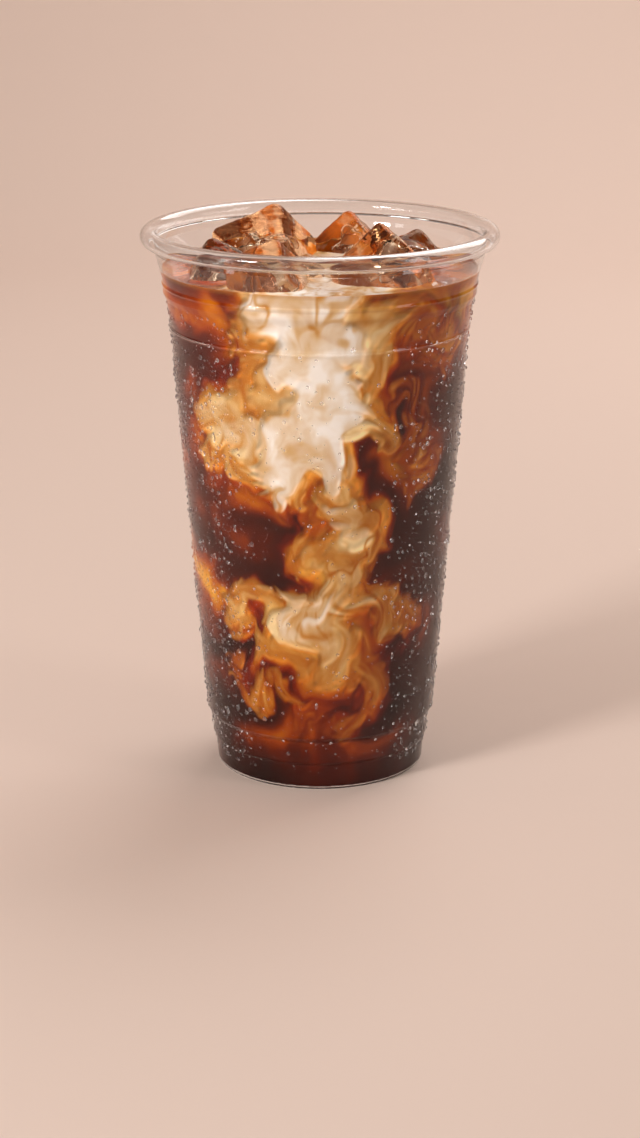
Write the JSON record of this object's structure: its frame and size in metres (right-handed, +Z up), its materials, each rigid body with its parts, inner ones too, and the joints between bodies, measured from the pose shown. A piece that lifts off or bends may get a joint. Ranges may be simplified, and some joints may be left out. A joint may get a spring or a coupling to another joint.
{
  "type": "cold brew coffee",
  "caption": "Cold brew coffee with a plume of milk and ice cubes in a clear plastic takeaway cup with a rolled lip, open at the top.",
  "frame": {"origin": "centre of the foot ring, on the surface that the cup stands on", "axes": "+Z up along the cup's axis, -Y towards the side where the milk shows most"},
  "size_m": [0.098, 0.098, 0.1568],
  "materials": {
    "cup": "clear thermoformed PET, glossy, beaded with condensation outside",
    "coffee": "clear dark liquid, amber where thin",
    "milk": "cloudy cream-white liquid that turns tan at its edges",
    "ice": "wet melting ice with rounded edges"
  },
  "bodies": {
    "root": {"cup": "cup", "coffee": "coffee", "milk": "milk", "ice_1": "ice", "ice_2": "ice", "ice_3": "ice", "ice_4": "ice", "ice_5": "ice", "ice_6": "ice", "ice_7": "ice"}
  },
  "joints": []
}
